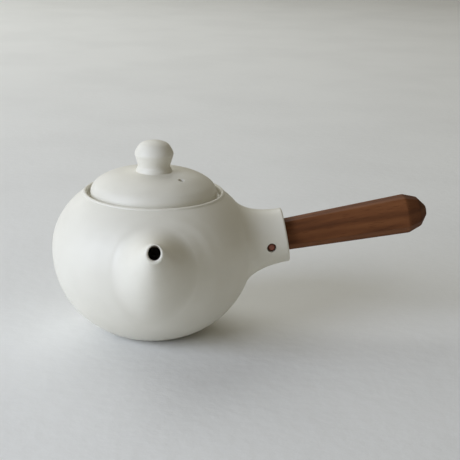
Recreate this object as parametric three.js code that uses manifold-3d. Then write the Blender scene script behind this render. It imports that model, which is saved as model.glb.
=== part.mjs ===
// Side-handled teapot (kyusu) in white glazed stoneware with a walnut grip.
// Millimetres, +Z up, origin at the middle of the flat base.
// The spout points along -Y and the handle along +X.
import * as THREE from "three";
import { mergeVertices } from "three/addons/utils/BufferGeometryUtils.js";
import Module from "manifold-3d";

const wasm = await Module();
wasm.setup();

// Pot body
const bellyRadius = 50;
const bellyHeight = 42.8;
const lowerReach = 46.5;
const lowerFullness = 2.07;
const upperReach = 38.3;
const upperFullness = 2.05;
const rimHeight = 71.6;
const potWall = 3.8;
const floorThickness = 4.2;
const lipRound = 0.9;

// Gallery that the lid sits in
const galleryRadius = 33;
const galleryDepth = 3.2;
const throatRadius = 28.5;
const galleryThickness = 3.4;

// Lid
const lidSideGap = 1.9;
const lidEdgeAboveRim = 2.2;
const lidRise = 7.8;
const lidFullness = 4;
const lidShoulder = 2.6;
const lidWall = 3.4;
const skirtGap = 0.5;
const skirtWall = 3;
const skirtDepth = 6.8;
const ventRadius = 1.5;
const ventPlace = { x: 13, y: -14.3 };

// Knob
const knobSeatRadius = 10;
const knobNeckRadius = 7.9;
const knobNeckRise = 2.9;
const knobHeadRadius = 9.45;
const knobHeadRise = 9.2;
const knobHeight = 15.3;
const knobCrownRadius = 5.4;
const knobCrownDrop = 1;

// Spout
const spoutRootHeight = 47;
const spoutTilt = THREE.MathUtils.degToRad(34);
const spoutReach = 28.5;
const spoutRootRadius = 20.5;
const spoutTipRadius = 3.9;
const spoutTipWall = 1.3;
const spoutTaper = THREE.MathUtils.degToRad(15);
const spoutFlare = 8;
const spoutBoreWaist = 5.6;
const spoutCutTilt = THREE.MathUtils.degToRad(4);

// Strainer behind the spout
const strainerOpeningRadius = 10.5;
const strainerRadius = 13.2;
const strainerWall = 2.2;
const strainerHoleRadius = 0.9;
const strainerRings = [1, 6, 12, 18];
const strainerRingStep = THREE.MathUtils.degToRad(19);

// Handle socket
const handleTilt = THREE.MathUtils.degToRad(10.7);
const socketEnd = new THREE.Vector3(bellyRadius + 16.1, 0, bellyHeight + 6.7);
const socketRadius = 13.5;
const socketRootRadius = 21;
const socketBoreRadius = 8.6;
const socketFlare = 6.5;
const socketEdge = 0.9;

// Grip
const gripFlats = 14.6;
const gripEndFlats = 18;
const gripLength = 71.6;
const gripChamfer = 10.2;
const gripShoulderShare = 0.75;
const gripTipShare = 0.26;
const tenonLength = 14.8;
const gripFlatShare = 0.5;

// Pin through the socket and the tenon
const pinInset = 8.5;
const pinDrop = 1.5;
const pinRadius = 1.95;
const pinClearance = 0.35;
const pinRecess = 0.3;
const pinCrown = 0.7;

// Joints between pieces
const slipJoint = 0.3;
const slipEdge = 0.6;
const overcut = 60;

// Facets
const potFacets = 48;
const neckFacets = 30;
const neckSteps = 8;
const profileSteps = 11;
const knobFacets = 28;
const domeSteps = 6;
const drillFacets = 6;
const pinFacets = 20;

const up = new THREE.Vector3(0, 0, 1);

// Turns a closed geometry into a solid that can be cut and joined.
function solidOf(geometry) {
  const bare = geometry.clone();
  bare.deleteAttribute("normal");
  bare.deleteAttribute("uv");
  const merged = mergeVertices(bare, 1e-4);
  return new wasm.Manifold(new wasm.Mesh({
    numProp: 3,
    vertProperties: new Float32Array(merged.attributes.position.array),
    triVerts: new Uint32Array(merged.index.array),
  }));
}

function geometryOf(solid) {
  const made = solid.getMesh();
  const geometry = new THREE.BufferGeometry();
  geometry.setAttribute("position", new THREE.BufferAttribute(made.vertProperties, 3));
  geometry.setIndex(new THREE.BufferAttribute(made.triVerts, 1));
  geometry.computeVertexNormals();
  return geometry;
}

// A solid of revolution round Z from [radius, height] points that go up the outside.
function revolve(points, facets) {
  const outline = points.map(([radius, height]) => new THREE.Vector2(radius, height));
  return solidOf(new THREE.LatheGeometry(outline, facets).rotateX(Math.PI / 2));
}

// Sets a solid made along Z so that its Z axis runs from a point in a direction.
function aim(solid, point, direction) {
  const turn = new THREE.Quaternion().setFromUnitVectors(up, direction);
  const place = new THREE.Matrix4().compose(point, turn, new THREE.Vector3(1, 1, 1));
  return solid.transform(place.toArray());
}

function rod(radius, low, high, facets) {
  return revolve([[0, low], [radius, low], [radius, high], [0, high]], facets);
}

// Closes a stack of equal rings of points into a solid, from the first ring to the last.
function loft(rings) {
  const count = rings[0].length;
  const middle = (ring) => ring.reduce((sum, p) => sum.add(p), new THREE.Vector3()).divideScalar(count);
  const points = [...rings.flat(), middle(rings[0]), middle(rings.at(-1))];
  const faces = [];
  for (let i = 0; i < count; i++) {
    const next = (i + 1) % count;
    for (let k = 0; k + 1 < rings.length; k++) {
      const low = k * count;
      const high = low + count;
      faces.push(low + i, low + next, high + next, low + i, high + next, high + i);
    }
    const last = (rings.length - 1) * count;
    faces.push(points.length - 2, next, i);
    faces.push(points.length - 1, last + i, last + next);
  }
  const geometry = new THREE.BufferGeometry().setFromPoints(points);
  geometry.setIndex(faces);
  return solidOf(geometry);
}

// Radius of the pot at a height, with a margin in from its outer surface.
function potRadius(height, margin = 0) {
  const above = height > bellyHeight;
  const reach = (above ? upperReach : lowerReach) - margin;
  const fullness = above ? upperFullness : lowerFullness;
  const share = Math.min(1, Math.abs(height - bellyHeight) / reach);
  return (bellyRadius - margin) * (1 - share ** fullness) ** (1 / fullness);
}

// Points up the pot's wall, evenly turned through each quarter so that no facet is long.
function potWallPoints(low, high, margin = 0) {
  const points = [];
  for (let i = 0; i <= 2 * profileSteps; i++) {
    const turn = (i / profileSteps - 1) * (Math.PI / 2);
    const reach = (turn > 0 ? upperReach : lowerReach) - margin;
    const height = bellyHeight + reach * Math.sin(turn);
    if (height > low + 0.5 && height < high - 0.5) points.push([potRadius(height, margin), height]);
  }
  return [[potRadius(low, margin), low], ...points, [potRadius(high, margin), high]];
}

// The pot's outside as one plain solid, to fit the luted pieces against.
function potOutside(growth) {
  const wall = potWallPoints(-growth, rimHeight + growth, -growth);
  return revolve([[0, -growth], ...wall, [0, rimHeight + growth]], potFacets);
}

const ledgeHeight = rimHeight - galleryDepth;
const throatHeight = ledgeHeight - galleryThickness;

function potInside(margin) {
  const inner = potWall + margin;
  const wall = potWallPoints(floorThickness + margin, throatHeight - margin, inner);
  return revolve([[0, floorThickness + margin], ...wall, [0, throatHeight - margin]], potFacets);
}

// Where a line along an axis, off it by a radius at an angle, meets the pot's outside.
function meetPot(axis, radius, angle) {
  const off = axis.right.clone().multiplyScalar(radius * Math.cos(angle));
  off.addScaledVector(axis.over, radius * Math.sin(angle));
  let near = -bellyRadius / 2;
  let far = bellyRadius / 2;
  for (let i = 0; i < 40; i++) {
    const mid = (near + far) / 2;
    const p = axis.root.clone().add(off).addScaledVector(axis.along, mid);
    const inside = Math.hypot(p.x, p.y) < potRadius(THREE.MathUtils.clamp(p.z, 0, rimHeight));
    if (inside) near = mid;
    else far = mid;
  }
  return axis.root.clone().add(off).addScaledVector(axis.along, near);
}

function potNormal(p) {
  const step = 0.01;
  const slope = (potRadius(p.z + step) - potRadius(p.z - step)) / (2 * step);
  const flat = Math.hypot(p.x, p.y);
  return new THREE.Vector3(p.x / flat, p.y / flat, -slope).normalize();
}

function axisFrom(root, along) {
  const right = new THREE.Vector3().crossVectors(along, up).normalize();
  const over = new THREE.Vector3().crossVectors(right, along).normalize();
  return { root, along, right, over };
}

// A neck that leaves the pot's surface in a smooth flare and narrows to its tip.
// Its foot stands a slip joint's edge above the surface, and its sides lean in by the taper.
function flaredNeck(axis, { rootRadius, tipRadius, reach, overrun, flare, taper }) {
  const rings = Array.from({ length: neckSteps + 3 }, () => []);
  for (let i = 0; i < neckFacets; i++) {
    const angle = (-i / neckFacets) * 2 * Math.PI;
    const out = axis.right.clone().multiplyScalar(Math.cos(angle));
    out.addScaledVector(axis.over, Math.sin(angle));
    const surface = meetPot(axis, rootRadius, angle);
    const normal = potNormal(surface);
    const foot = surface.clone().addScaledVector(normal, slipEdge);
    const inward = out.clone().negate();
    inward.addScaledVector(normal, -inward.dot(normal)).normalize();
    const tip = axis.root.clone().addScaledVector(axis.along, reach).addScaledVector(out, tipRadius);
    const back = axis.along.clone().multiplyScalar(-Math.cos(taper)).addScaledVector(out, Math.sin(taper));
    const side = new THREE.CubicBezierCurve3(
      foot,
      foot.clone().addScaledVector(inward, flare),
      tip.clone().addScaledVector(back, reach * 0.55),
      tip,
    );
    rings[0].push(surface.clone().addScaledVector(normal, -potWall / 2));
    for (let k = 0; k <= neckSteps; k++) rings[k + 1].push(side.getPoint(k / neckSteps));
    rings[neckSteps + 2].push(tip.clone().addScaledVector(back, -overrun));
  }
  return loft(rings);
}

const spoutDirection = new THREE.Vector3(0, -Math.cos(spoutTilt), Math.sin(spoutTilt));
const spoutRoot = new THREE.Vector3(0, -potRadius(spoutRootHeight), spoutRootHeight);
const spoutAxis = axisFrom(spoutRoot, spoutDirection);
const spoutTip = spoutRoot.clone().addScaledVector(spoutDirection, spoutReach);

const handleDirection = new THREE.Vector3(Math.cos(handleTilt), 0, Math.sin(handleTilt));
const socketReach = (socketEnd.x - bellyRadius) / Math.cos(handleTilt);
const socketRoot = socketEnd.clone().addScaledVector(handleDirection, -socketReach);
const socketAxis = axisFrom(socketRoot, handleDirection);
const pinPlace = socketEnd.clone().addScaledVector(handleDirection, -pinInset).addScaledVector(socketAxis.over, -pinDrop);

function makePotBody() {
  const lipOuter = potRadius(rimHeight - lipRound);
  const lipMiddle = (galleryRadius + lipOuter) / 2;
  const outline = [
    [0, 0],
    ...potWallPoints(0, rimHeight - lipRound),
    [lipOuter - lipRound * 0.3, rimHeight - lipRound * 0.3],
    [lipMiddle, rimHeight],
    [galleryRadius + lipRound * 0.25, rimHeight - lipRound * 0.3],
    [galleryRadius, rimHeight - lipRound],
    [galleryRadius, ledgeHeight],
    [throatRadius, ledgeHeight],
    [throatRadius, throatHeight],
    ...potWallPoints(floorThickness, throatHeight, potWall).reverse(),
    [0, floorThickness],
  ];
  const pourWay = aim(rod(strainerOpeningRadius, -overcut / 2, overcut / 2, neckFacets), spoutRoot, spoutDirection);
  return revolve(outline, potFacets).subtract(pourWay);
}

// The bore narrows from the opening in the wall to the tip.
function spoutBore() {
  const tipBore = spoutTipRadius - spoutTipWall;
  const narrowing = new THREE.CubicBezierCurve(
    new THREE.Vector2(strainerOpeningRadius, 0),
    new THREE.Vector2(strainerOpeningRadius * 0.8, spoutReach * 0.2),
    new THREE.Vector2(spoutBoreWaist, spoutReach * 0.4),
    new THREE.Vector2(tipBore, spoutReach),
  );
  const side = narrowing.getPoints(7).map((p) => [p.x, p.y]);
  const start = [[0, -overcut / 2], [strainerOpeningRadius, -overcut / 2]];
  return revolve([...start, ...side, [tipBore, overcut], [0, overcut]], neckFacets);
}

function makeSpout() {
  const neck = flaredNeck(spoutAxis, {
    rootRadius: spoutRootRadius,
    tipRadius: spoutTipRadius,
    reach: spoutReach,
    overrun: spoutTipRadius,
    flare: spoutFlare,
    taper: spoutTaper,
  });
  const cutDirection = new THREE.Vector3(0, -Math.cos(spoutCutTilt), Math.sin(spoutCutTilt));
  const waste = aim(rod(overcut / 2, 0, overcut, 4), spoutTip, cutDirection);
  const bore = aim(spoutBore(), spoutRoot, spoutDirection);
  return neck.subtract(potOutside(slipJoint)).subtract(bore).subtract(waste);
}

// A pierced dome, luted over the opening on the inside of the wall.
function makeStrainer() {
  const arc = (radius) => Array.from({ length: domeSteps + 1 }, (_, i) => [
    radius * Math.sin((i / domeSteps) * (Math.PI / 2)),
    -radius * Math.cos((i / domeSteps) * (Math.PI / 2)),
  ]);
  const outer = arc(strainerRadius);
  const inner = arc(strainerRadius - strainerWall).reverse();
  let dome = revolve([...outer, [strainerRadius, overcut / 4], [inner[0][0], overcut / 4], ...inner], neckFacets);
  strainerRings.forEach((count, ring) => {
    for (let i = 0; i < count; i++) {
      const lean = ring * strainerRingStep;
      const round = ((i + (ring % 2) / 2) / count) * 2 * Math.PI;
      const way = new THREE.Vector3(
        Math.sin(lean) * Math.cos(round),
        Math.sin(lean) * Math.sin(round),
        -Math.cos(lean),
      );
      const drill = rod(strainerHoleRadius, strainerRadius / 2, strainerRadius * 1.3, drillFacets);
      dome = dome.subtract(aim(drill, new THREE.Vector3(), way));
    }
  });
  const seat = spoutRoot.clone().addScaledVector(spoutDirection, -potWall);
  return aim(dome, seat, spoutDirection).intersect(potInside(slipJoint));
}

function pinHole() {
  const radius = pinRadius + pinClearance;
  return aim(rod(radius, -overcut / 2, overcut / 2, pinFacets), pinPlace, new THREE.Vector3(0, 1, 0));
}

function makeSocket() {
  const neck = flaredNeck(socketAxis, {
    rootRadius: socketRootRadius,
    tipRadius: socketRadius,
    reach: socketReach - socketEdge,
    overrun: 0.05,
    flare: socketFlare,
    taper: 0,
  });
  const end = revolve([
    [0, -1],
    [socketRadius, -1],
    [socketRadius, 0],
    [socketRadius - socketEdge * 0.3, socketEdge * 0.7],
    [socketRadius - socketEdge, socketEdge],
    [0, socketEdge],
  ], neckFacets);
  const endPlace = socketEnd.clone().addScaledVector(handleDirection, -socketEdge);
  const bore = aim(rod(socketBoreRadius, -overcut, overcut, neckFacets), socketEnd, handleDirection);
  return neck.add(aim(end, endPlace, handleDirection))
    .subtract(bore)
    .subtract(potOutside(slipJoint))
    .subtract(pinHole());
}

// Eight-sided section with wide flats at the top, bottom and sides and narrower ones between.
function gripRing(flats, along) {
  const half = flats / 2;
  const corner = half * gripFlatShare;
  const ring = [];
  for (let turn = 0; turn < 4; turn++) {
    const angle = (turn * Math.PI) / 2;
    for (const [x, y] of [[half, corner], [corner, half]]) {
      ring.push(new THREE.Vector3(x, y, along).applyAxisAngle(up, angle));
    }
  }
  return ring;
}

function makeGrip() {
  const shank = gripLength - gripChamfer;
  const stick = loft([
    gripRing(gripFlats, -tenonLength),
    gripRing(gripFlats, 0),
    gripRing(gripEndFlats, shank),
    gripRing(gripEndFlats * gripShoulderShare, shank + gripChamfer * 0.65),
    gripRing(gripEndFlats * gripTipShare, gripLength),
  ]);
  return aim(stick, socketEnd, handleDirection).subtract(pinHole());
}

function makePin() {
  const half = Math.sqrt(socketRadius ** 2 - pinDrop ** 2) - pinRecess;
  const crown = (side) => [1, 0.7, 0].map((share) => [
    pinRadius * share,
    side * (half - pinCrown * share ** 2),
  ]);
  return aim(revolve([...crown(-1).reverse(), ...crown(1)], pinFacets), pinPlace, new THREE.Vector3(0, 1, 0));
}

const lidRadius = galleryRadius - lidSideGap;
const lidEdgeHeight = rimHeight + lidEdgeAboveRim;

function domeHeight(radius) {
  return lidEdgeHeight + lidRise * (1 - (radius / lidRadius) ** lidFullness);
}

const knobSeatHeight = domeHeight(knobSeatRadius);

function makeLid() {
  const skirtOuter = throatRadius - skirtGap;
  const skirtInner = skirtOuter - skirtWall;
  const skirtBottom = ledgeHeight - skirtDepth;
  const shoulderStart = lidRadius - lidShoulder;
  const domePoints = (from, to, drop) => Array.from({ length: 7 }, (_, i) => {
    const radius = from + ((to - from) * i) / 6;
    return [radius, domeHeight(radius) - drop];
  });
  const outline = [
    [0, domeHeight(0) - lidWall],
    ...domePoints(3, skirtInner - 1, lidWall),
    [skirtInner, domeHeight(skirtInner) - lidWall - 1],
    [skirtInner, skirtBottom + 0.8],
    [skirtInner + 0.8, skirtBottom],
    [skirtOuter - 0.8, skirtBottom],
    [skirtOuter, skirtBottom + 0.8],
    [skirtOuter, ledgeHeight],
    [lidRadius - 0.5, ledgeHeight],
    [lidRadius, ledgeHeight + 0.5],
    [lidRadius, lidEdgeHeight - lidShoulder],
    [lidRadius - lidShoulder * 0.25, domeHeight(shoulderStart) - lidShoulder * 0.8],
    ...domePoints(shoulderStart, knobSeatRadius, 0),
    [0, knobSeatHeight],
  ];
  const vent = rod(ventRadius, skirtBottom, knobSeatHeight + 5, 16).translate([ventPlace.x, ventPlace.y, 0]);
  return revolve(outline, potFacets).subtract(vent);
}

function makeKnob() {
  const side = new THREE.SplineCurve([
    new THREE.Vector2(knobSeatRadius, 0),
    new THREE.Vector2(knobNeckRadius + 0.6, knobNeckRise * 0.4),
    new THREE.Vector2(knobNeckRadius, knobNeckRise),
    new THREE.Vector2(knobHeadRadius - 0.5, (knobNeckRise + knobHeadRise) / 2 + 0.4),
    new THREE.Vector2(knobHeadRadius, knobHeadRise),
    new THREE.Vector2(knobHeadRadius - 1.9, knobHeight - 2.5),
    new THREE.Vector2(knobCrownRadius, knobHeight - knobCrownDrop),
    new THREE.Vector2(knobCrownRadius * 0.45, knobHeight - 0.2),
  ]);
  const points = side.getPoints(14).map((p) => [p.x, knobSeatHeight + p.y]);
  return revolve([[0, knobSeatHeight], ...points, [0, knobSeatHeight + knobHeight]], knobFacets);
}

const glaze = { color: 0xe6e5de, roughness: 0.55, metalness: 0 };
const walnut = { color: 0x5c3a22, roughness: 0.5, metalness: 0 };
const copper = { color: 0x8a5246, roughness: 0.4, metalness: 0.9 };

function piece(name, solid, finish) {
  const mesh = new THREE.Mesh(geometryOf(solid), new THREE.MeshStandardMaterial(finish));
  mesh.name = name;
  return mesh;
}

const pot = new THREE.Group();
pot.add(
  piece("pot_body", makePotBody(), glaze),
  piece("spout", makeSpout(), glaze),
  piece("strainer", makeStrainer(), glaze),
  piece("handle_socket", makeSocket(), glaze),
  piece("handle_grip", makeGrip(), walnut),
  piece("handle_pin", makePin(), copper),
);

const cover = new THREE.Group();
cover.add(
  piece("lid", makeLid(), glaze),
  piece("lid_knob", makeKnob(), glaze),
);

const kyusu = new THREE.Group();
kyusu.add(pot, cover);

export default kyusu;
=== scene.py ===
# Side-handled teapot in matte white glaze, its walnut grip held by a copper pin.
# Metres, Z up, origin at the middle of the base; the spout points along -Y, the handle along +X.
from math import atan2, cos, hypot, pi, radians, sin, sqrt

import bpy
from mathutils import Matrix, Quaternion, Vector


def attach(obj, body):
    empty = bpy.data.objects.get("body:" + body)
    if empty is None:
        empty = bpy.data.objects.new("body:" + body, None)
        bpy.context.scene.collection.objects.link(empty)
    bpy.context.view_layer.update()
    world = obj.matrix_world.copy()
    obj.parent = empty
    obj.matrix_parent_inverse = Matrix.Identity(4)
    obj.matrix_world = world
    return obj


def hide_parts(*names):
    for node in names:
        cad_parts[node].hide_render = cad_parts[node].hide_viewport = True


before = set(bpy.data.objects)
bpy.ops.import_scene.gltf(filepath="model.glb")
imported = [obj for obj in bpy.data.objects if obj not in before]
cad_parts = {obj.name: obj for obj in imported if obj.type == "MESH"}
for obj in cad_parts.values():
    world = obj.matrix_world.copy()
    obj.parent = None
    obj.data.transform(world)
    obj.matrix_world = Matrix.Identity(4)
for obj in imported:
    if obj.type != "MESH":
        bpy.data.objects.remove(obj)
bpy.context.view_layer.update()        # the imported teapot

mm = 0.001                    # the forms below are worked out in millimetres


# Modelling helpers

def alone(thing=None):
    bpy.ops.object.select_all(action="DESELECT")
    if thing:
        thing.select_set(True)
        bpy.context.view_layer.objects.active = thing


def added(name):
    thing = bpy.context.active_object
    thing.name = name
    thing.data.name = name
    return thing


def placeVertices(thing, points):
    flat = [value * mm for point in points for value in point]
    thing.data.vertices.foreach_set("co", flat)
    thing.data.update()


def closeUp(thing):
    alone(thing)
    bpy.ops.object.mode_set(mode="EDIT")
    bpy.ops.mesh.select_all(action="SELECT")
    bpy.ops.mesh.remove_doubles(threshold=0.5e-6)
    bpy.ops.mesh.normals_make_consistent(inside=False)
    bpy.ops.object.mode_set(mode="OBJECT")


def smooth(thing, angle=35):
    alone(thing)
    bpy.ops.object.shade_smooth_by_angle(angle=radians(angle))


def turnOnWheel(name, outline, steps):
    alone()
    bpy.ops.mesh.primitive_circle_add(vertices=len(outline), radius=0.01)
    thing = added(name)
    placeVertices(thing, [(radius, 0, height) for radius, height in outline])
    bpy.ops.object.mode_set(mode="EDIT")
    bpy.ops.mesh.select_all(action="DESELECT")
    bpy.ops.object.mode_set(mode="OBJECT")
    last = len(outline) - 1
    for edge in thing.data.edges:                       # the edge along the axis goes
        edge.select = set(edge.vertices) == {0, last}
    bpy.ops.object.mode_set(mode="EDIT")
    bpy.ops.mesh.select_mode(type="EDGE")
    bpy.ops.mesh.delete(type="EDGE_FACE")
    bpy.ops.mesh.select_mode(type="VERT")
    bpy.ops.mesh.select_all(action="SELECT")
    bpy.ops.mesh.spin(steps=steps, angle=2 * pi, center=(0, 0, 0), axis=(0, 0, 1))
    bpy.ops.object.mode_set(mode="OBJECT")
    closeUp(thing)
    return thing


def shapeTube(name, rings):
    alone()
    around, along = len(rings[0]), len(rings)
    bpy.ops.mesh.primitive_grid_add(x_subdivisions=around, y_subdivisions=along, size=0.01)
    thing = added(name)
    rows = [ring + ring[:1] for ring in rings + rings[:1]]
    placeVertices(thing, [point for row in rows for point in row])
    closeUp(thing)
    return thing


def cutWith(thing, cutter, operation="DIFFERENCE"):
    alone(thing)
    cut = thing.modifiers.new("cut", "BOOLEAN")
    cut.operation = operation
    cut.solver = "EXACT"
    cut.object = cutter
    bpy.ops.object.modifier_apply(modifier=cut.name)
    bpy.data.objects.remove(cutter)


def rodAlong(name, place, direction, radius, length, sides, endRadius=None):
    alone()
    turn = Vector((0, 0, 1)).rotation_difference(direction).to_euler()
    bpy.ops.mesh.primitive_cone_add(
        vertices=sides,
        radius1=radius * mm,
        radius2=(endRadius or radius) * mm,
        depth=length * mm,
        location=place * mm,
        rotation=turn,
    )
    thing = added(name)
    bpy.ops.object.transform_apply(location=True, rotation=True, scale=True)
    return thing


def bezier(points, share):
    while len(points) > 1:
        points = [a + (b - a) * share for a, b in zip(points, points[1:])]
    return points[0]


def arc(middle, radii, start, end, steps):
    turns = [radians(start + (end - start) * i / steps) for i in range(steps + 1)]
    return [(middle[0] + radii[0] * cos(t), middle[1] + radii[1] * sin(t)) for t in turns]


# Pot body

pot = {
    "bellyRadius": 50,
    "bellyHeight": 42.8,
    "lowerReach": 46.5,
    "lowerFullness": 2.07,
    "upperReach": 38.3,
    "upperFullness": 2.05,
    "rimHeight": 71.6,
    "lipRound": 0.9,
    "wall": 3.8,
    "floor": 4.2,
    "galleryRadius": 33,
    "galleryDepth": 3.2,
    "throatRadius": 28.5,
    "galleryThickness": 3.4,
    "baseRound": 1.1,
    "steps": 176,
    "wallSteps": 44,
}
ledgeHeight = pot["rimHeight"] - pot["galleryDepth"]
throatHeight = ledgeHeight - pot["galleryThickness"]


def potRadius(height, margin=0.0):
    above = height > pot["bellyHeight"]
    reach = (pot["upperReach"] if above else pot["lowerReach"]) - margin
    fullness = pot["upperFullness"] if above else pot["lowerFullness"]
    share = min(1.0, abs(height - pot["bellyHeight"]) / reach)
    return (pot["bellyRadius"] - margin) * (1 - share ** fullness) ** (1 / fullness)


def wallPoints(low, high, margin, steps):
    points = [(potRadius(low, margin), low)]
    for i in range(2 * steps + 1):
        turn = (i / steps - 1) * pi / 2
        reach = (pot["upperReach"] if turn > 0 else pot["lowerReach"]) - margin
        height = pot["bellyHeight"] + reach * sin(turn)
        if low + 0.3 < height < high - 0.3:
            points.append((potRadius(height, margin), height))
    return points + [(potRadius(high, margin), high)]


def makePotShell():
    rim, ledge = pot["rimHeight"], ledgeHeight
    lip = pot["lipRound"]
    lipOuter = potRadius(rim - lip)
    lipMiddle = (lipOuter + pot["galleryRadius"]) / 2
    lipHalf = (lipOuter - pot["galleryRadius"]) / 2
    base = potRadius(0)
    edge = pot["baseRound"]
    outline = [(0, 0), (base * 0.5, 0), (base - edge, 0)]
    outline += [(base - edge * 0.35, edge * 0.1), (base + edge * 0.25, edge * 0.42)]
    outline += wallPoints(edge, rim - lip, 0, pot["wallSteps"])
    outline += arc((lipMiddle, rim - lip), (lipHalf, lip), 0, 180, 12)[1:]
    outline += [(pot["galleryRadius"], ledge + 0.5), (pot["galleryRadius"] - 0.15, ledge + 0.15)]
    outline += [(pot["galleryRadius"] - 0.5, ledge), (pot["throatRadius"] + 0.6, ledge)]
    outline += arc((pot["throatRadius"] + 0.6, ledge - 0.6), (0.6, 0.6), 90, 180, 5)[1:]
    outline += arc((pot["throatRadius"] + 0.6, throatHeight + 0.6), (0.6, 0.6), 180, 270, 5)
    outline += wallPoints(pot["floor"], throatHeight, pot["wall"], 24)[::-1]
    outline += [(12, pot["floor"]), (0, pot["floor"])]
    shell = turnOnWheel("potShell", outline, pot["steps"])
    pour = rodAlong("pourWay", spoutRoot - spoutAxis["along"] * 2, spoutAxis["along"],
                    strainer["opening"], 26, 64)
    cutWith(shell, pour)
    smooth(shell)
    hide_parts("pot_body")
    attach(shell, "pot")
    return shell


# Necks that flare out of the pot's wall

def axisFrom(root, along):
    right = along.cross(Vector((0, 0, 1))).normalized()
    return {"root": root, "along": along, "right": right, "over": right.cross(along).normalized()}


def outward(axis, angle):
    return axis["right"] * cos(angle) + axis["over"] * sin(angle)


def meetPot(axis, radius, angle):
    start = axis["root"] + outward(axis, angle) * radius
    near, far = -pot["bellyRadius"] / 2, pot["bellyRadius"] / 2
    for _ in range(40):
        middle = (near + far) / 2
        p = start + axis["along"] * middle
        if hypot(p.x, p.y) < potRadius(max(0, min(pot["rimHeight"], p.z))):
            near = middle
        else:
            far = middle
    return start + axis["along"] * near


def potNormal(p):
    slope = (potRadius(p.z + 0.01) - potRadius(p.z - 0.01)) / 0.02
    flat = hypot(p.x, p.y)
    return Vector((p.x / flat, p.y / flat, -slope)).normalized()


def neckSide(axis, neck, angle):
    out = outward(axis, angle)
    surface = meetPot(axis, neck["rootRadius"], angle)
    normal = potNormal(surface)
    foot = surface - normal * neck["sink"]
    inward = -out
    inward = (inward - normal * inward.dot(normal)).normalized()
    tip = axis["root"] + axis["along"] * neck["reach"] + out * neck["tipRadius"]
    taper = radians(neck["taper"])
    back = axis["along"] * -cos(taper) + out * sin(taper)
    handles = [foot, foot + inward * neck["flare"], tip + back * neck["reach"] * 0.55, tip]

    def side(share):
        if share > 1:
            return tip - back * neck["reach"] * (share - 1)
        return bezier(handles, share)

    return side, normal, foot


def crossing(side, place, normal, low, high):
    for _ in range(40):
        middle = (low + high) / 2
        if (side(middle) - place).dot(normal) < 0:
            low = middle
        else:
            high = middle
    return low


# Spout

spout = {
    "rootHeight": 47,
    "tilt": 34,
    "reach": 28.5,
    "rootRadius": 20.5,
    "tipRadius": 3.9,
    "tipWall": 1.3,
    "taper": 15,
    "flare": 8,
    "waist": 5.6,
    "cutTilt": 4,
    "sink": 0.02,
    "lipRound": 0.65,
    "around": 120,
    "steps": 34,
}
strainer = {"opening": 10.5, "radius": 13.2, "wall": 2.2, "holeRadius": 0.9, "rings": [1, 6, 12, 18], "ringStep": 19}
spoutRoot = Vector((0, -potRadius(spout["rootHeight"]), spout["rootHeight"]))
spoutAxis = axisFrom(spoutRoot, Vector((0, -cos(radians(spout["tilt"])), sin(radians(spout["tilt"])))))
spoutTip = spoutRoot + spoutAxis["along"] * spout["reach"]


def makeSpout():
    tipBore = spout["tipRadius"] - spout["tipWall"]
    boreSide = [Vector((strainer["opening"], 0)), Vector((strainer["opening"] * 0.8, spout["reach"] * 0.2)),
                Vector((spout["waist"], spout["reach"] * 0.4)), Vector((tipBore, spout["reach"]))]
    cut = Vector((0, -cos(radians(spout["cutTilt"])), sin(radians(spout["cutTilt"]))))
    lipPlace = spoutTip - cut * spout["lipRound"]
    columns = []
    for i in range(spout["around"]):
        angle = 2 * pi * i / spout["around"]
        out = outward(spoutAxis, angle)
        side, normal, foot = neckSide(spoutAxis, spout, angle)

        def bore(share):
            if share > 1:
                r, d = tipBore, spout["reach"] * share
            else:
                r, d = bezier(boreSide, share)
            return spoutRoot + spoutAxis["along"] * d + out * r

        outerEnd = crossing(side, lipPlace, cut, 0.5, 1.3)
        innerEnd = crossing(bore, lipPlace, cut, 0.5, 1.3)
        outer, inner = side(outerEnd), bore(innerEnd)
        column = [side(outerEnd * (k / spout["steps"]) ** 0.9) for k in range(spout["steps"])]
        middle, half = (outer + inner) / 2, (outer - inner) / 2
        column += [middle + half * cos(t) + cut * spout["lipRound"] * sin(t)
                   for t in [pi * k / 10 for k in range(11)]]
        column += [bore(innerEnd * (1 - k / 18)) for k in range(1, 19)]
        wallEdge = meetPot(spoutAxis, strainer["opening"] + 0.7, angle)
        column += [wallEdge - potNormal(wallEdge) * 0.8, foot - normal * 1.2]
        columns.append(column)
    rings = [list(ring) for ring in zip(*columns)]
    neck = shapeTube("spoutNeck", rings)
    smooth(neck)
    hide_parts("spout")
    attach(neck, "pot")
    return neck


# Strainer behind the spout

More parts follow.
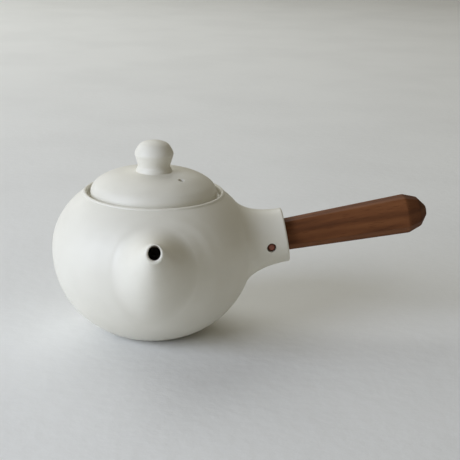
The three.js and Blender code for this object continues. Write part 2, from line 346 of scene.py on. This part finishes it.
def makeStrainer():
    outer = [(strainer["radius"] * sin(a), -strainer["radius"] * cos(a)) for a in [pi / 2 * i / 20 for i in range(21)]]
    thin = strainer["radius"] - strainer["wall"]
    inner = [(thin * sin(a), -thin * cos(a)) for a in [pi / 2 * i / 20 for i in range(20, -1, -1)]]
    dome = turnOnWheel("strainerDome", outer + [(strainer["radius"], 15), (thin, 15)] + inner, 72)
    seat = spoutRoot - spoutAxis["along"] * pot["wall"]
    turn = Vector((0, 0, 1)).rotation_difference(spoutAxis["along"]).to_matrix().to_4x4()
    place = Matrix.Translation(seat * mm) @ turn
    drills = []
    for ring, count in enumerate(strainer["rings"]):
        lean = radians(ring * strainer["ringStep"])
        for i in range(count):
            around = (i + (ring % 2) / 2) / count * 2 * pi
            way = Vector((sin(lean) * cos(around), sin(lean) * sin(around), -cos(lean)))
            drills.append(rodAlong("drill", way * strainer["radius"], way, strainer["holeRadius"], 8, 14))
    alone(drills[0])
    for drill in drills:
        drill.select_set(True)
    bpy.ops.object.join()
    cutWith(dome, drills[0])
    dome.data.transform(place)
    room = wallPoints(pot["floor"], throatHeight, pot["wall"] - 0.15, 24)
    inside = turnOnWheel("inside", [(0, pot["floor"])] + room + [(0, throatHeight)], 96)
    cutWith(dome, inside, "INTERSECT")
    smooth(dome, 30)
    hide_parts("strainer")
    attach(dome, "pot")
    return dome


# Handle socket

socket = {
    "tilt": 10.7,
    "end": Vector((66.1, 0, 49.5)),
    "tipRadius": 13.5,
    "rootRadius": 21,
    "bore": 8.6,
    "flare": 6.5,
    "taper": 0,
    "sink": 0.02,
    "edge": 0.9,
    "around": 120,
    "steps": 34,
}
pin = {"inset": 8.5, "drop": 1.5, "radius": 1.95, "clearance": 0.35, "recess": 0.3, "crown": 0.7}
handleAlong = Vector((cos(radians(socket["tilt"])), 0, sin(radians(socket["tilt"]))))
socket["reach"] = (socket["end"].x - pot["bellyRadius"]) / handleAlong.x - socket["edge"]
socketRoot = socket["end"] - handleAlong * (socket["reach"] + socket["edge"])
socketAxis = axisFrom(socketRoot, handleAlong)
pinPlace = socket["end"] - handleAlong * pin["inset"] - socketAxis["over"] * pin["drop"]


def makeSocket():
    columns = []
    for i in range(socket["around"]):
        angle = 2 * pi * i / socket["around"]
        out = outward(socketAxis, angle)
        side, normal, foot = neckSide(socketAxis, socket, angle)
        column = [side(k / socket["steps"]) for k in range(socket["steps"])]
        edge = socket["edge"]
        for radius, depth in arc((socket["tipRadius"] - edge, -edge), (edge, edge), 0, 90, 6):
            column.append(socket["end"] + out * radius + handleAlong * depth)
        for radius, depth in arc((socket["bore"] + 0.5, -0.5), (0.5, 0.5), 90, 180, 5):
            column.append(socket["end"] + out * radius + handleAlong * depth)
        floor = meetPot(socketAxis, socket["bore"], angle)
        for k in range(1, 9):
            column.append(column[-1].lerp(floor, k / 8) if k < 8 else floor - potNormal(floor) * 0.6)
        column.append(foot - normal * 1.2)
        columns.append(column)
    rings = [list(ring) for ring in zip(*columns)]
    neck = shapeTube("handleSocket", rings)
    cutWith(neck, rodAlong("pinHole", pinPlace, Vector((0, 1, 0)), pin["radius"] + pin["clearance"], 60, 40))
    smooth(neck, 32)
    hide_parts("handle_socket")
    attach(neck, "pot")
    return neck


# Grip

grip = {
    "flats": 14.6,
    "endFlats": 18,
    "length": 71.6,
    "chamfer": 10.2,
    "shoulder": (0.65, 0.75),     # how far down the chamfer it breaks, and how wide it is there
    "tipShare": 0.26,
    "tenon": 14.8,
    "flatShare": 0.5,
    "softEdge": 0.45,
}


def makeGrip():
    alone()
    half = grip["flats"] / 2
    corners = []
    for turn in range(4):
        for x, y in [(half, half * grip["flatShare"]), (half * grip["flatShare"], half)]:
            a = turn * pi / 2
            corners.append((x * cos(a) - y * sin(a), x * sin(a) + y * cos(a), -grip["tenon"]))
    bpy.ops.mesh.primitive_circle_add(vertices=8, radius=0.01, fill_type="NGON")
    stick = added("walnutGrip")
    placeVertices(stick, corners)
    bpy.ops.object.mode_set(mode="EDIT")
    bpy.ops.mesh.select_all(action="SELECT")
    shank = grip["length"] - grip["chamfer"]
    wide = grip["endFlats"] / grip["flats"]
    stations = [(0, 1)] + [(shank * k / 6, 1 + (wide - 1) * k / 6) for k in range(1, 7)]
    down, across = grip["shoulder"]
    stations += [(shank + grip["chamfer"] * down, wide * across), (grip["length"], wide * grip["tipShare"])]
    height, size = -grip["tenon"], 1
    for nextHeight, nextSize in stations:
        bpy.ops.mesh.extrude_region_move(TRANSFORM_OT_translate={"value": (0, 0, (nextHeight - height) * mm)})
        share = nextSize / size
        bpy.ops.transform.resize(value=(share, share, 1), center_override=(0, 0, nextHeight * mm))
        height, size = nextHeight, nextSize
    bpy.ops.mesh.select_all(action="SELECT")
    bpy.ops.mesh.normals_make_consistent(inside=False)
    bpy.ops.object.mode_set(mode="OBJECT")
    soften = stick.modifiers.new("soften", "BEVEL")
    soften.width = grip["softEdge"] * mm
    soften.segments = 3
    soften.limit_method = "ANGLE"
    soften.angle_limit = radians(8)
    alone(stick)
    bpy.ops.object.modifier_apply(modifier=soften.name)
    turn = Vector((0, 0, 1)).rotation_difference(handleAlong).to_matrix().to_4x4()
    stick.data.transform(Matrix.Translation(socket["end"] * mm) @ turn)
    cutWith(stick, rodAlong("pinHole", pinPlace, Vector((0, 1, 0)), pin["radius"] + pin["clearance"], 60, 40))
    smooth(stick, 30)
    weigh = stick.modifiers.new("weigh", "WEIGHTED_NORMAL")
    weigh.keep_sharp = True
    alone(stick)
    bpy.ops.object.modifier_apply(modifier=weigh.name)
    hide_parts("handle_grip")
    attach(stick, "pot")
    return stick


# Pin

def makePin():
    half = sqrt(socket["tipRadius"] ** 2 - pin["drop"] ** 2) - pin["recess"]
    flank = half - pin["crown"]
    dome = [(pin["radius"] * sin(a), flank + pin["crown"] * cos(a)) for a in [pi / 2 * k / 10 for k in range(10, -1, -1)]]
    outline = [(r, -h) for r, h in dome[::-1]] + [(pin["radius"], -flank / 2), (pin["radius"], flank / 2)] + dome
    rivet = turnOnWheel("copperPin", outline, 48)
    turn = Vector((0, 0, 1)).rotation_difference(Vector((0, 1, 0))).to_matrix().to_4x4()
    rivet.data.transform(Matrix.Translation(pinPlace * mm) @ turn)
    smooth(rivet, 40)
    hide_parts("handle_pin")
    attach(rivet, "pot")
    return rivet


# Lid

lid = {
    "sideGap": 1.9,
    "edgeAboveRim": 2.2,
    "rise": 7.8,
    "fullness": 4,
    "shoulder": 2.6,
    "wall": 3.4,
    "skirtGap": 0.5,
    "skirtWall": 3,
    "skirtDepth": 6.8,
    "ventRadius": 1.5,
    "ventSoftening": 0.3,
    "ventPlace": (13, -14.3),
    "steps": 160,
}
lidRadius = pot["galleryRadius"] - lid["sideGap"]
lidEdge = pot["rimHeight"] + lid["edgeAboveRim"]


def domeHeight(radius):
    return lidEdge + lid["rise"] * (1 - (radius / lidRadius) ** lid["fullness"])


def lidNormal(x, y):
    away = hypot(x, y)
    slope = (domeHeight(away + 0.01) - domeHeight(away - 0.01)) / 0.02
    return Vector((-slope * x / away, -slope * y / away, 1)).normalized()


def makeLid():
    outer = pot["throatRadius"] - lid["skirtGap"]
    inner = outer - lid["skirtWall"]
    low = ledgeHeight - lid["skirtDepth"]
    start = lidRadius - lid["shoulder"]
    roof = [(r, domeHeight(r) - lid["wall"]) for r in [inner * k / 16 for k in range(0, 16)]]
    outline = [(0, domeHeight(0) - lid["wall"])] + roof[1:]
    outline += [(inner, domeHeight(inner) - lid["wall"] - 1.2), (inner, low + 1.4)]
    outline += arc(((inner + outer) / 2, low + 1.4), (lid["skirtWall"] / 2, 1.4), 180, 360, 12)
    outline += [(outer, ledgeHeight - 0.4), (outer + 0.15, ledgeHeight), (lidRadius - 0.7, ledgeHeight)]
    outline += arc((lidRadius - 0.7, ledgeHeight + 0.7), (0.7, 0.7), 270, 360, 5)[1:]
    slope = -lid["fullness"] * lid["rise"] / lidRadius * (start / lidRadius) ** (lid["fullness"] - 1)
    turn = [Vector((lidRadius, lidEdge - lid["shoulder"])), Vector((lidRadius, lidEdge - 0.5)),
            Vector((start + 0.9, domeHeight(start) + slope * 0.9)), Vector((start, domeHeight(start)))]
    outline += [tuple(bezier(turn, k / 10)) for k in range(11)]
    outline += [(r, domeHeight(r)) for r in [start * (1 - k / 30) for k in range(1, 31)]]
    cover = turnOnWheel("lidShell", outline, lid["steps"])
    x, y = lid["ventPlace"]
    upward = Vector((0, 0, 1))
    cutWith(cover, rodAlong("vent", Vector((x, y, lidEdge)), upward, lid["ventRadius"], 30, 32))
    surface = Vector((x, y, domeHeight(hypot(x, y))))
    lean = lidNormal(x, y)
    depth = lid["ventSoftening"]
    cutWith(cover, rodAlong("ventEdge", surface, lean, lid["ventRadius"] - depth / 2, depth * 2, 32,
                            lid["ventRadius"] + depth))
    smooth(cover, 32)
    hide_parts("lid")
    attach(cover, "lid")
    return cover


# Knob

knob = {
    "seatRadius": 9,
    "neckRadius": 7.9,
    "neckRise": 2.9,
    "headRadius": 9.45,
    "headRise": 9.2,
    "height": 15.27,
    "crownRadius": 5.4,
    "crownDrop": 1,
}


def splineThrough(points, steps):
    made = []
    for i in range(len(points) - 1):
        a, b = points[max(0, i - 1)], points[i]
        c, d = points[i + 1], points[min(len(points) - 1, i + 2)]
        for k in range(steps):
            t = k / steps
            made.append(tuple(0.5 * (2 * b[j] + (c[j] - a[j]) * t + (2 * a[j] - 5 * b[j] + 4 * c[j] - d[j]) * t * t
                                     + (3 * b[j] - a[j] - 3 * c[j] + d[j]) * t ** 3) for j in range(2)))
    return made + [points[-1]]


def makeKnob():
    seat = domeHeight(knob["seatRadius"])
    side = splineThrough([
        (knob["seatRadius"], -0.05),
        (knob["neckRadius"] + 0.6, knob["neckRise"] * 0.4),
        (knob["neckRadius"], knob["neckRise"]),
        (knob["headRadius"] - 0.5, (knob["neckRise"] + knob["headRise"]) / 2 + 0.4),
        (knob["headRadius"], knob["headRise"]),
        (knob["headRadius"] - 1.9, knob["height"] - 2.5),
        (knob["crownRadius"], knob["height"] - knob["crownDrop"]),
        (knob["crownRadius"] * 0.45, knob["height"] - 0.2),
        (0, knob["height"]),
    ], 8)
    outline = [(0, seat - 0.05)] + [(max(0, r), seat + h) for r, h in side]
    button = turnOnWheel("lidKnob", outline, 112)
    smooth(button, 50)
    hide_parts("lid_knob")
    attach(button, "lid")
    return button


# Shader maths

class Wire:                   # a node's output that takes Python's operators
    def __init__(self, finish, socket):
        self.finish = finish
        self.socket = socket

    def maths(self, operation, *values):
        return self.finish.node("Math", {"operation": operation}, dict(enumerate(values)))

    def __add__(self, other):
        return self.maths("ADD", self, other)

    __radd__ = __add__

    def __mul__(self, other):
        return self.maths("MULTIPLY", self, other)

    __rmul__ = __mul__

    def __sub__(self, other):
        return self.maths("SUBTRACT", self, other)

    def __rsub__(self, other):
        return self.maths("SUBTRACT", other, self)


class Finish:
    def __init__(self, name, **plain):
        self.material = bpy.data.materials.new(name)
        self.material.use_nodes = True
        self.tree = self.material.node_tree
        self.shader = self.tree.nodes["Principled BSDF"]
        for socket, value in plain.items():
            self.shader.inputs[socket.replace("_", " ")].default_value = value
        self.place = self.node("TexCoord", {}, {}, "Object")

    def node(self, kind, settings, inputs, output=0):
        node = self.tree.nodes.new("ShaderNode" + kind)
        for name, value in settings.items():
            if name == "stops":
                ramp = node.color_ramp
                while len(ramp.elements) < len(value):
                    ramp.elements.new(0.5)
                for element, (position, colour) in zip(ramp.elements, value):
                    element.position = position
                    element.color = colour if isinstance(colour, tuple) else (colour, colour, colour, 1)
            else:
                setattr(node, name, value)
        for name, value in inputs.items():
            if isinstance(value, Wire):
                self.tree.links.new(value.socket, node.inputs[name])
            else:
                node.inputs[name].default_value = value
        return Wire(self, node.outputs[output])

    def noise(self, place, scale, detail=3.0, roughness=0.5, distortion=0.0):
        return self.node("TexNoise", {}, {"Vector": place, "Scale": scale, "Detail": detail,
                                          "Roughness": roughness, "Distortion": distortion})

    def ramp(self, value, stops):
        return self.node("ValToRGB", {"stops": stops}, {"Fac": value})

    def between(self, value, low, high):
        return self.node("MapRange", {"interpolation_type": "SMOOTHSTEP"},
                         {"Value": value, "From Min": low, "From Max": high})

    def mix(self, share, first, second, kind="MIX"):
        return self.node("Mix", {"data_type": "RGBA", "blend_type": kind}, {0: share, 6: first, 7: second}, 2)

    def turned(self, root, direction, size=(1, 1, 1)):      # coordinates from a root, Z along a direction
        turn = Vector((0, 0, 1)).rotation_difference(direction).to_euler()
        return self.node("Mapping", {"vector_type": "TEXTURE"},
                         {"Vector": self.place, "Location": root * mm, "Rotation": turn, "Scale": size})

    def split(self, place):
        return [self.node("SeparateXYZ", {}, {"Vector": place}, axis) for axis in "XYZ"]

    def distance(self, x, y):
        return self.node("Math", {"operation": "SQRT"}, {0: x * x + y * y})

    def wave(self, turns):
        return self.node("Math", {"operation": "SINE"}, {0: turns})

    def feed(self, **sockets):
        for socket, wire in sockets.items():
            self.tree.links.new(wire.socket, self.shader.inputs[socket.replace("_", " ")])

    def bump(self, height):                                # a height in metres
        self.feed(Normal=self.node("Bump", {}, {"Height": height, "Distance": 1.0, "Strength": 1.0}))


glaze = {
    "light": (0.79, 0.765, 0.672, 1),
    "dark": (0.745, 0.72, 0.628, 1),
    "clay": (0.56, 0.48, 0.37, 1),
    # The bore colour is painted shade inside the spout's bore; boreShadeDepths give how far along the spout it reaches
    # and its radius there.
    "bore": (0.16, 0.13, 0.10, 1),
    "boreShadeDepths": [(0.010, 0.0070), (0.0285, 0.0027)],                     # along the spout, radius there
    "smooth": 0.42,
    "rough": 0.56,
    "ringSpacing": 0.0058,
    "ringDepth": 0.00001,
    "grooveAside": 0.0045,
    "grooves": [(0.0212, 0.0042, 0.00016), (0.0285, 0.0040, 0.00008)],     # radius, half width, depth
    "waves": (38, 0.0006),                                                 # scale and depth of the hand's marks
    "skin": (260, 0.000016),
    "grain": (900, 0.000004),
}


def grooved(finish, away):
    height = 0.0
    for radius, half, depth in glaze["grooves"]:
        dip = finish.between(away, radius - half, radius) * (1 - finish.between(away, radius, radius + half))
        height = dip * -depth + height
    return height


def makeGlaze(name, rings, clayBelow=None, nearSpout=False):
    finish = Finish(name, IOR=1.5)
    place = finish.place
    cloud = finish.noise(place, 26, 4)
    colour = finish.mix(finish.between(cloud, 0.35, 0.7), glaze["light"], glaze["dark"])
    roughness = finish.between(cloud, 0.3, 0.7) * (glaze["rough"] - glaze["smooth"]) + glaze["smooth"]
    height = rings(finish)
    for scale, depth in [glaze["waves"], glaze["skin"], glaze["grain"]]:
        height = height + finish.noise(place, scale, 2) * depth
    if nearSpout:
        across, over, along = finish.split(finish.turned(spoutRoot, spoutAxis["along"]))
        front = finish.between(along, -0.03, -0.02)
        aside = across - glaze["grooveAside"]
        height = height + grooved(finish, finish.distance(aside, over)) * front
        # Painted shade: the inside of the spout's bore is coloured dark within a radius that narrows from 7 mm to 2.7
        # mm towards the mouth.
        (deep, wide), (end, narrow) = glaze["boreShadeDepths"]
        limit = finish.node("MapRange", {}, {"Value": along, "From Min": deep, "From Max": end,
                                             "To Min": wide, "To Max": narrow})
        inside = finish.between(limit - finish.distance(across, over), 0, 0.0001)
        colour = finish.mix(inside * front, colour, glaze["bore"])
    if clayBelow is not None:
        z = finish.split(place)[2]
        bare = 1 - finish.between(z, clayBelow, clayBelow + 0.0004)
        colour = finish.mix(bare, colour, glaze["clay"])
        roughness = roughness + bare * 0.3
    finish.feed(Base_Color=colour, Roughness=roughness)
    finish.bump(height)
    return finish.material


def ringsAbout(root, direction):
    def rings(finish):
        x, y, z = finish.split(finish.turned(root, direction))
        wobble = finish.noise(finish.place, 30, 2) * 0.004
        turns = (finish.distance(x, y) + wobble) * (2 * pi / glaze["ringSpacing"])
        return finish.wave(turns) * glaze["ringDepth"]

    return rings


def ringsUpright(finish):
    z = finish.split(finish.place)[2]
    wobble = finish.noise(finish.place, 30, 2) * 0.004
    return finish.wave((z + wobble) * (2 * pi / glaze["ringSpacing"])) * glaze["ringDepth"]


walnut = {
    "pale": (0.225, 0.086, 0.030, 1),
    "middle": (0.155, 0.054, 0.017, 1),
    "dark": (0.060, 0.019, 0.006, 1),
    "roughness": 0.6,
    "streaks": (9, 1, 1),
    "pores": (14, 1, 1),
    "ringWidth": 0.0062,
    "endShade": 0.5,
    "relief": 0.00003,
}


def makeWalnut():
    finish = Finish("oiledWalnut", Specular_IOR_Level=0.2)
    long = lambda stretch: finish.turned(socket["end"], handleAlong, stretch[::-1])
    x, y, z = finish.split(finish.turned(socket["end"], handleAlong))
    warp = finish.noise(long(walnut["streaks"]), 60, 3, 0.55)
    rings = finish.wave((x * 0.8 + y * 0.6 + warp * 0.012) * (2 * pi / walnut["ringWidth"])) * 0.5 + 0.5
    streak = finish.noise(long(walnut["streaks"]), 260, 5, 0.6)
    cells = finish.node("TexVoronoi", {"feature": "F1"},
                        {"Vector": long(walnut["pores"]), "Scale": 1500.0, "Randomness": 1.0})
    pore = 1 - finish.between(cells, 0.12, 0.3)
    tone = rings * 0.22 + streak * 0.75
    colour = finish.ramp(tone, [(0.15, walnut["dark"]), (0.48, walnut["middle"]), (0.85, walnut["pale"])])
    colour = finish.mix(pore * 0.45, colour, walnut["dark"])
    shank = (grip["length"] - grip["chamfer"]) * mm
    colour = finish.mix(finish.between(z, shank - 0.001, shank + 0.002) * walnut["endShade"], colour, walnut["dark"])
    finish.feed(Base_Color=colour, Roughness=pore * 0.2 + streak * 0.12 + walnut["roughness"])
    finish.bump((streak * 0.5 - pore * 0.8) * walnut["relief"])
    return finish.material


copper = {
    "bright": (0.34, 0.135, 0.095, 1),
    "dull": (0.15, 0.065, 0.048, 1),
    "roughness": 0.38,
    "relief": 0.00004,
}


def makeCopper():
    finish = Finish("agedCopper", Metallic=0.9)
    x, y, z = finish.split(finish.turned(pinPlace, Vector((0, 1, 0))))
    # Darker towards the rim of the pin's head: partly patina, partly painted shade of the gap round the pin.
    edge = finish.between(finish.distance(x, y), pin["radius"] * 0.5 * mm, pin["radius"] * 0.95 * mm)
    patina = finish.noise(finish.place, 1400, 4)
    colour = finish.mix(finish.between(patina, 0.35, 0.7) * 0.6, copper["bright"], copper["dull"])
    colour = finish.mix(edge * 0.85, colour, copper["dull"])
    finish.feed(Base_Color=colour, Roughness=patina * 0.3 + edge * 0.25 + copper["roughness"])
    finish.bump(finish.noise(finish.place, 700, 3) * copper["relief"])
    return finish.material


# Stage

stage = {
    "floor": (0.86, 0.865, 0.85, 1),
    "lamps": {
        "window": {"place": (-1.2, -0.7, 0.55), "size": 1.1, "power": 19.6, "colour": (0.765, 0.835, 1.0)},
        "wall": {"place": (-0.6, 1.2, 1.1), "size": 1.9, "power": 13.0, "colour": (0.96, 0.99, 1.0)},
    },
    "lit": (0.01, 0, 0.04),
    "sky": (1.0, 0.93, 0.75, 1),
    "skyPower": 0.212,
}


def makeFloorFinish():
    finish = Finish("paleFloor", Roughness=0.7)
    blotch = finish.noise(finish.place, 9, 5)
    grain = finish.noise(finish.place, 140, 4)
    low = tuple(v * 0.96 for v in stage["floor"][:3]) + (1,)
    finish.feed(Base_Color=finish.mix(finish.between(blotch, 0.35, 0.7), stage["floor"], low))
    finish.bump((grain * 0.6 + blotch) * 0.0004)
    return finish.material


def makeStage():
    alone()
    bpy.ops.mesh.primitive_grid_add(x_subdivisions=8, y_subdivisions=8, size=14, location=(0, 0, 0))
    floor = added("tableTop")
    floor.data.materials.append(makeFloorFinish())
    for name, light in stage["lamps"].items():
        bpy.ops.object.light_add(type="AREA", location=light["place"])
        lamp = bpy.context.active_object
        lamp.name = name + "Light"
        lamp.data.shape = "DISK"
        lamp.data.size = light["size"]
        lamp.data.energy = light["power"]
        lamp.data.color = light["colour"]
        towards = Vector(stage["lit"]) - Vector(light["place"])
        lamp.rotation_euler = towards.to_track_quat("-Z", "Y").to_euler()
    world = bpy.data.worlds.new("room")
    bpy.context.scene.world = world
    world.use_nodes = True
    sky = world.node_tree.nodes["Background"]
    sky.inputs["Color"].default_value = stage["sky"]
    sky.inputs["Strength"].default_value = stage["skyPower"]
    bpy.context.scene.view_settings.view_transform = "Standard"     # plain colours, as in the photograph


camera = {
    "aim": (0.0382, 0, 0.0514),
    "azimuth": -4.2,
    "elevation": 16.55,
    "roll": 1.6,
    "distance": 0.6002,
    "lens": 93.9,
}


def makeCamera():
    azimuth, elevation = radians(camera["azimuth"]), radians(camera["elevation"])
    back = Vector((sin(azimuth) * cos(elevation), -cos(azimuth) * cos(elevation), sin(elevation)))
    aim = Vector(camera["aim"])
    bpy.ops.object.camera_add(location=aim + back * camera["distance"])
    eye = bpy.context.active_object
    eye.name = "photoCamera"
    eye.data.sensor_width = 36
    eye.data.lens = camera["lens"]
    roll = Quaternion((0, 0, 1), radians(camera["roll"]))
    eye.rotation_euler = ((-back).to_track_quat("-Z", "Y") @ roll).to_euler()
    bpy.context.scene.camera = eye


makeCamera()
makeStage()
print("camera, floor and lights set")

body = makePotShell()
neck = makeSpout()
dome = makeStrainer()
print("pot, spout and strainer made")
holder = makeSocket()
stick = makeGrip()
rivet = makePin()
print("socket, grip and pin made")
cover = makeLid()
button = makeKnob()
print("lid and knob made")

knobRoot = Vector((0, 0, 0))
for thing, finish in [
    (body, makeGlaze("potGlaze", ringsUpright, clayBelow=0.0002, nearSpout=True)),
    (neck, makeGlaze("spoutGlaze", ringsAbout(spoutRoot, spoutAxis["along"]), nearSpout=True)),
    (dome, makeGlaze("strainerGlaze", ringsUpright)),
    (holder, makeGlaze("socketGlaze", ringsAbout(socketRoot, handleAlong))),
    (cover, makeGlaze("lidGlaze", ringsAbout(knobRoot, Vector((0, 0, 1))))),
    (button, makeGlaze("knobGlaze", ringsUpright)),
    (stick, makeWalnut()),
    (rivet, makeCopper()),
]:
    thing.data.materials.clear()
    thing.data.materials.append(finish)
print("finishes set")
